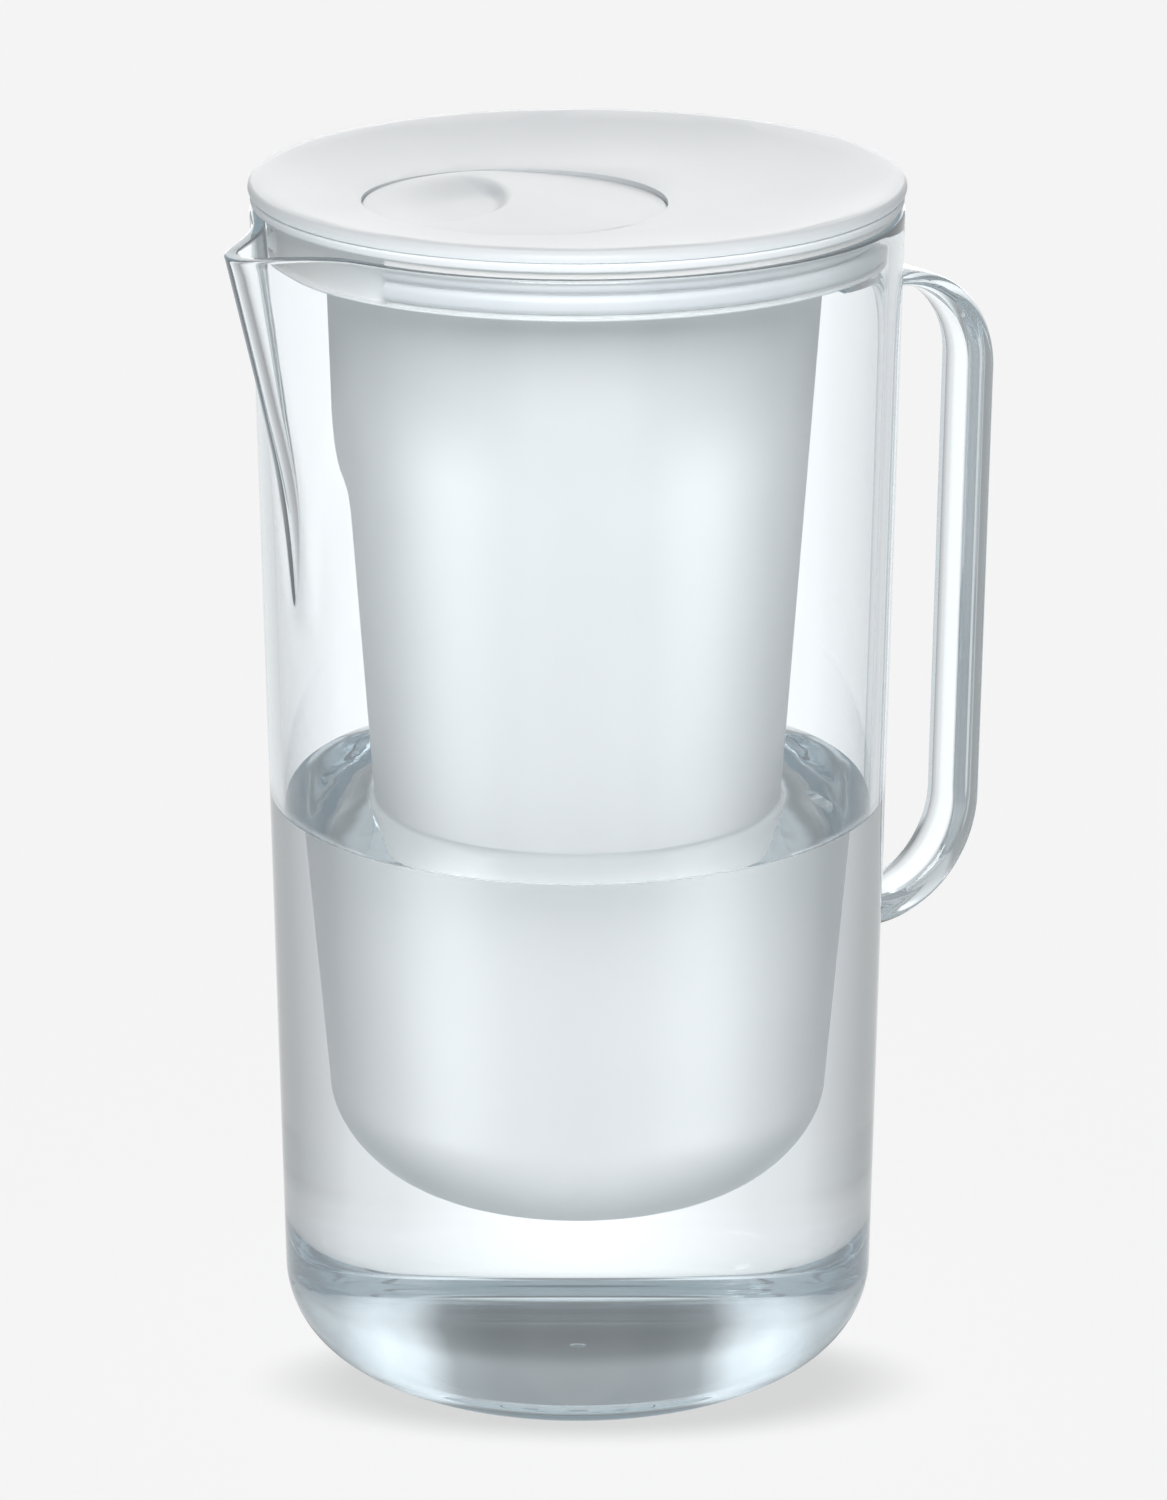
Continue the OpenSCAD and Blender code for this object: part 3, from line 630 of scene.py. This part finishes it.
tub_outline = np.concatenate([
    [(NECK_HOLE, TUB_Z)],
    arc_points(tub_r(foot_z) - TUB_FOOT, foot_z, TUB_FOOT, -90, 0, 16),
    np.stack([tub_r(np.linspace(foot_z, top_z, 8)[1:-1]), np.linspace(foot_z, top_z, 8)[1:-1]], 1),
    arc_points(tub_r(top_z) + FILLET, top_z, FILLET, 180, 90, 8),
    eased([(COLLAR_IN_R, COLLAR_Z), (COLLAR_LIP_R, COLLAR_Z),
           (COLLAR_LIP_R, COLLAR_Z + COLLAR_LIP_T), (COLLAR_R, COLLAR_Z + COLLAR_LIP_T),
           (COLLAR_R, JUG_H), (FLANGE_R, JUG_H), (FLANGE_R, FLANGE_Z), (COLLAR_IN_R, FLANGE_Z),
           (COLLAR_IN_R, ledge_z)], 0.2, 3)[4:-4],
    [(COLLAR_IN_R, ledge_z), (tub_r(ledge_z) - TUB_WALL, ledge_z)],
    arc_points(tub_r(foot_z) - TUB_WALL - in_foot, foot_z, in_foot, 0, -90, 14),
    [(NECK_HOLE, TUB_Z + TUB_WALL)]])


def pour_notch(turn, r, z):
    off = np.abs(turn - math.pi)
    over = (off < POUR_ANGLE) & (z > JUG_H - 0.5)
    return np.where(over, np.minimum(r, COLLAR_R), r)


tub = turned("hopper_tub", tub_outline, frosted, pour_notch)
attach(tub, "hopper")
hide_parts("hopper")
satin_only.objects.link(tub)
for lamp in satin_boxes:
    lamp.light_linking.receiver_collection = satin_only

# ---------------------------------------------------------------------------------------
# Rim seal. Two soft silicone bands on one sleeve round the hopper's collar, left open
# over the beak, where they end square.
silicone = moulded("seal_silicone", (0.86, 0.87, 0.88), 0.42)
LOWER_BAND, UPPER_BAND, BAND_STEP = 4.0, 1.8, 0.6
lower_z = COLLAR_Z + COLLAR_LIP_T + BAND_STEP
upper_z = lower_z + LOWER_BAND + BAND_STEP


def band_outline(z0, height):
    outer = wall_r(z0) - WALL - 0.3
    bulge = min(height / 2, outer - COLLAR_R - 0.4)
    return np.concatenate([arc_points(outer - bulge, z0 + bulge, bulge, -90, 0, 6),
                           arc_points(outer - bulge, z0 + height - bulge, bulge, 0, 90, 6)])


sleeve = COLLAR_R + 0.8
seal_outline = np.concatenate([
    [(COLLAR_R, COLLAR_Z + COLLAR_LIP_T), (sleeve, COLLAR_Z + COLLAR_LIP_T),
     (sleeve, lower_z)], band_outline(lower_z, LOWER_BAND),
    [(sleeve, lower_z + LOWER_BAND), (sleeve, upper_z)], band_outline(upper_z, UPPER_BAND),
    [(sleeve, upper_z + UPPER_BAND), (COLLAR_R, upper_z + UPPER_BAND)]])
seal_turn = np.linspace(POUR_ANGLE - math.pi, math.pi - POUR_ANGLE, 231)
seal_rows = [[(r * math.cos(t), r * math.sin(t), z) for r, z in seal_outline]
             for t in seal_turn]
seal = mesh_piece("rim_seal_bands", seal_rows, silicone, smooth_angle=0)
work = bmesh.new()
work.from_mesh(seal.data)
work.verts.ensure_lookup_table()
ends = len(seal_outline)
for first in (0, len(work.verts) - ends):
    work.faces.new([work.verts[first + k] for k in range(ends)])
bmesh.ops.recalc_face_normals(work, faces=work.faces)
work.to_mesh(seal.data)
work.free()
seal.data.shade_smooth()
seal.data.set_sharp_from_angle(angle=math.radians(32))
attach(seal, "hopper")
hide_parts("rim_seal")

# ---------------------------------------------------------------------------------------
# Lid. A white moulded cover with a dished top and a rounded edge, and under it a liner
# ring whose skirt plugs into the hopper's collar.
white = moulded("white_plastic", (0.82, 0.85, 0.872), 0.38)
LID_R, LID_EDGE_H, LINER_H, DISH_DEPTH, SKIRT_H = 68.0, 2.8, 1.9, 3.9, 8.0
LINER_R, SKIRT_T = LID_R - 0.5, 1.6
SKIRT_R = COLLAR_IN_R - 0.4
LID_Z = FLANGE_Z
DISH_Z = LID_Z + LINER_H + LID_EDGE_H - DISH_DEPTH
liner_outline = eased([(SKIRT_R - SKIRT_T, LID_Z - SKIRT_H), (SKIRT_R, LID_Z - SKIRT_H),
                       (SKIRT_R, LID_Z), (LINER_R, LID_Z), (LINER_R, LID_Z + LINER_H),
                       (SKIRT_R - SKIRT_T, LID_Z + LINER_H)], 0.6, 5)
liner = turned("lid_liner_ring", liner_outline, white)
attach(liner, "lid")
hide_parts("lid_liner")


def softened_copy(node, name, material, width):
    """A CAD node's own shape, merged, with its sharp edges turned to small rounds."""
    data = nodes[node].data.copy()
    work = bmesh.new()
    work.from_mesh(data)
    bmesh.ops.remove_doubles(work, verts=work.verts, dist=2e-6)
    bmesh.ops.dissolve_limit(work, angle_limit=math.radians(1.0), verts=work.verts,
                             edges=work.edges)
    work.to_mesh(data)
    work.free()
    data.materials.clear()
    data.materials.append(material)
    piece = bpy.data.objects.new(name, data)
    scene.collection.objects.link(piece)
    bevel = piece.modifiers.new("edges", "BEVEL")
    bevel.width, bevel.segments, bevel.limit_method = width, 3, "ANGLE"
    bevel.angle_limit = math.radians(38)
    bevel.use_clamp_overlap = True
    bevel.harden_normals = False
    graph = bpy.context.evaluated_depsgraph_get()
    finished = bpy.data.meshes.new_from_object(piece.evaluated_get(graph))
    piece.modifiers.clear()
    piece.data = finished
    finished.name = name
    finished.shade_smooth()
    finished.set_sharp_from_angle(angle=math.radians(30))
    return piece


cover = softened_copy("lid_cover", "lid_cover_dished", white, 0.4 * MM)
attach(cover, "lid")
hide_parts("lid_cover")

# ---------------------------------------------------------------------------------------
# Flap. A white disc that rocks on two pins: flat on the beak's side with a finger scoop,
# and falling away past a crease over the pins.
FLAP_X, FLAP_R, FLAP_T, CREASE_X, TAIL_FALL = -15.0, 31.35, 2.4, -7.5, math.tan(math.radians(2.5))
SCOOP_X, SCOOP_Y, SCOOP_R, SCOOP_DEPTH, CUP_T = -37.3, 20.2, 29.4, 2.3, 1.4
PIN_Y, PIN_Z, PIN_LENGTH = 30.3, DISH_Z - 2.0, 3.6


def scoop_depth(x, y):
    """How far the scoop sinks: steep behind its round near edge, gentle to the rim."""
    near = SCOOP_R - np.hypot(x - SCOOP_X, y - SCOOP_Y)
    rim = FLAP_R - 1.6 - np.hypot(x - FLAP_X, y)
    return SCOOP_DEPTH * soft_step(near / 4.5) * soft_step(rim / 15)


def flap_top(x, y):
    past = x - CREASE_X
    fall = TAIL_FALL * 0.5 * (past + np.sqrt(past ** 2 + 0.25))
    return DISH_Z - fall - scoop_depth(x, y)


flap_turn = np.linspace(0, 2 * math.pi, 241)[:-1]
flap_rows = []
EDGE = 0.45


def flap_ring(radius, height):
    x = FLAP_X + radius * np.cos(flap_turn)
    y = radius * np.sin(flap_turn)
    return np.stack([x, y, height(x, y)], 1)


for r in np.concatenate([np.linspace(0.4, 28, 70), np.linspace(28.3, FLAP_R - EDGE, 8)]):
    flap_rows.append(flap_ring(r, flap_top))
for turn in np.radians((20, 45, 70, 90)):
    r = FLAP_R - EDGE + EDGE * math.sin(turn)
    drop = EDGE * (1 - math.cos(turn))
    flap_rows.append(flap_ring(r, lambda x, y, d=drop: flap_top(x, y) - d))
flap_rows.append(flap_ring(FLAP_R, lambda x, y: DISH_Z - FLAP_T + 0.3 + 0 * x))


def flap_under(x, y):
    return np.minimum(DISH_Z - FLAP_T, DISH_Z - scoop_depth(x, y) - CUP_T)


for r in np.concatenate([[FLAP_R - 0.3], np.linspace(28, 0.4, 40)]):
    flap_rows.append(flap_ring(r, flap_under))
flap = mesh_piece("flap_disc", flap_rows, white, smooth_angle=35,
                  caps=((FLAP_X, 0, flap_top(FLAP_X, 0.0)),
                        (FLAP_X, 0, float(flap_under(FLAP_X, 0.0)))))
work = bmesh.new()
work.from_mesh(flap.data)
for side in (-1, 1):
    made = bmesh.ops.create_cone(work, cap_ends=True, segments=32, radius1=MM, radius2=MM,
                                 depth=PIN_LENGTH * MM)
    for vert in made["verts"]:
        x, y, z = vert.co
        vert.co = (CREASE_X * MM + x, side * PIN_Y * MM + z, PIN_Z * MM + y)
bmesh.ops.recalc_face_normals(work, faces=work.faces)
work.to_mesh(flap.data)
work.free()
flap.data.shade_smooth()
flap.data.set_sharp_from_angle(angle=math.radians(35))
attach(flap, "flap")
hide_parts("flip_lid")

# The lid's own lamps light the cover and the flap alone. The front softbox leaves both
# out, and neither it nor the back one lights the floor.
for piece in (cover, flap):
    lid_only.objects.link(piece)
for lamp in lid_boxes:
    lamp.light_linking.receiver_collection = lid_only
for lamp, kept_dark in flags.items():
    group = bpy.data.collections.new(lamp.name + "_flags")
    scene.collection.children.link(group)
    for piece in kept_dark + ([cover, flap] if lamp is front_box else []):
        group.objects.link(piece)
    for member in group.collection_objects:
        member.light_linking.link_state = "EXCLUDE"
    lamp.light_linking.receiver_collection = group

# ---------------------------------------------------------------------------------------
# Cartridge. Its nine pieces sit inside the hopper and are carried over from the frame as
# they are, each with its own finish.
blue = moulded("cartridge_blue", (0.36, 0.58, 0.72), 0.4)
inner_white = moulded("cartridge_white", (0.84, 0.86, 0.87), 0.45)
nylon = moulded("screen_nylon", (0.62, 0.65, 0.68), 0.6)
carbon = moulded("carbon", (0.02, 0.02, 0.022), 0.8)
felt = moulded("felt", (0.78, 0.78, 0.74), 0.95)
resin = moulded("resin", (0.60, 0.38, 0.12), 0.5)
grey_rubber = moulded("grey_silicone", (0.22, 0.25, 0.29), 0.5)
for name, finish in (("cartridge_shell", inner_white),
                     ("cartridge_cap", blue), ("pull_tab", blue), ("upper_screen", nylon),
                     ("carbon_bed", carbon), ("divider_felt", felt), ("resin_bed", resin),
                     ("lower_screen", nylon), ("cartridge_seal", grey_rubber)):
    data = nodes[name].data
    for k in range(len(data.materials)):
        data.materials[k] = finish
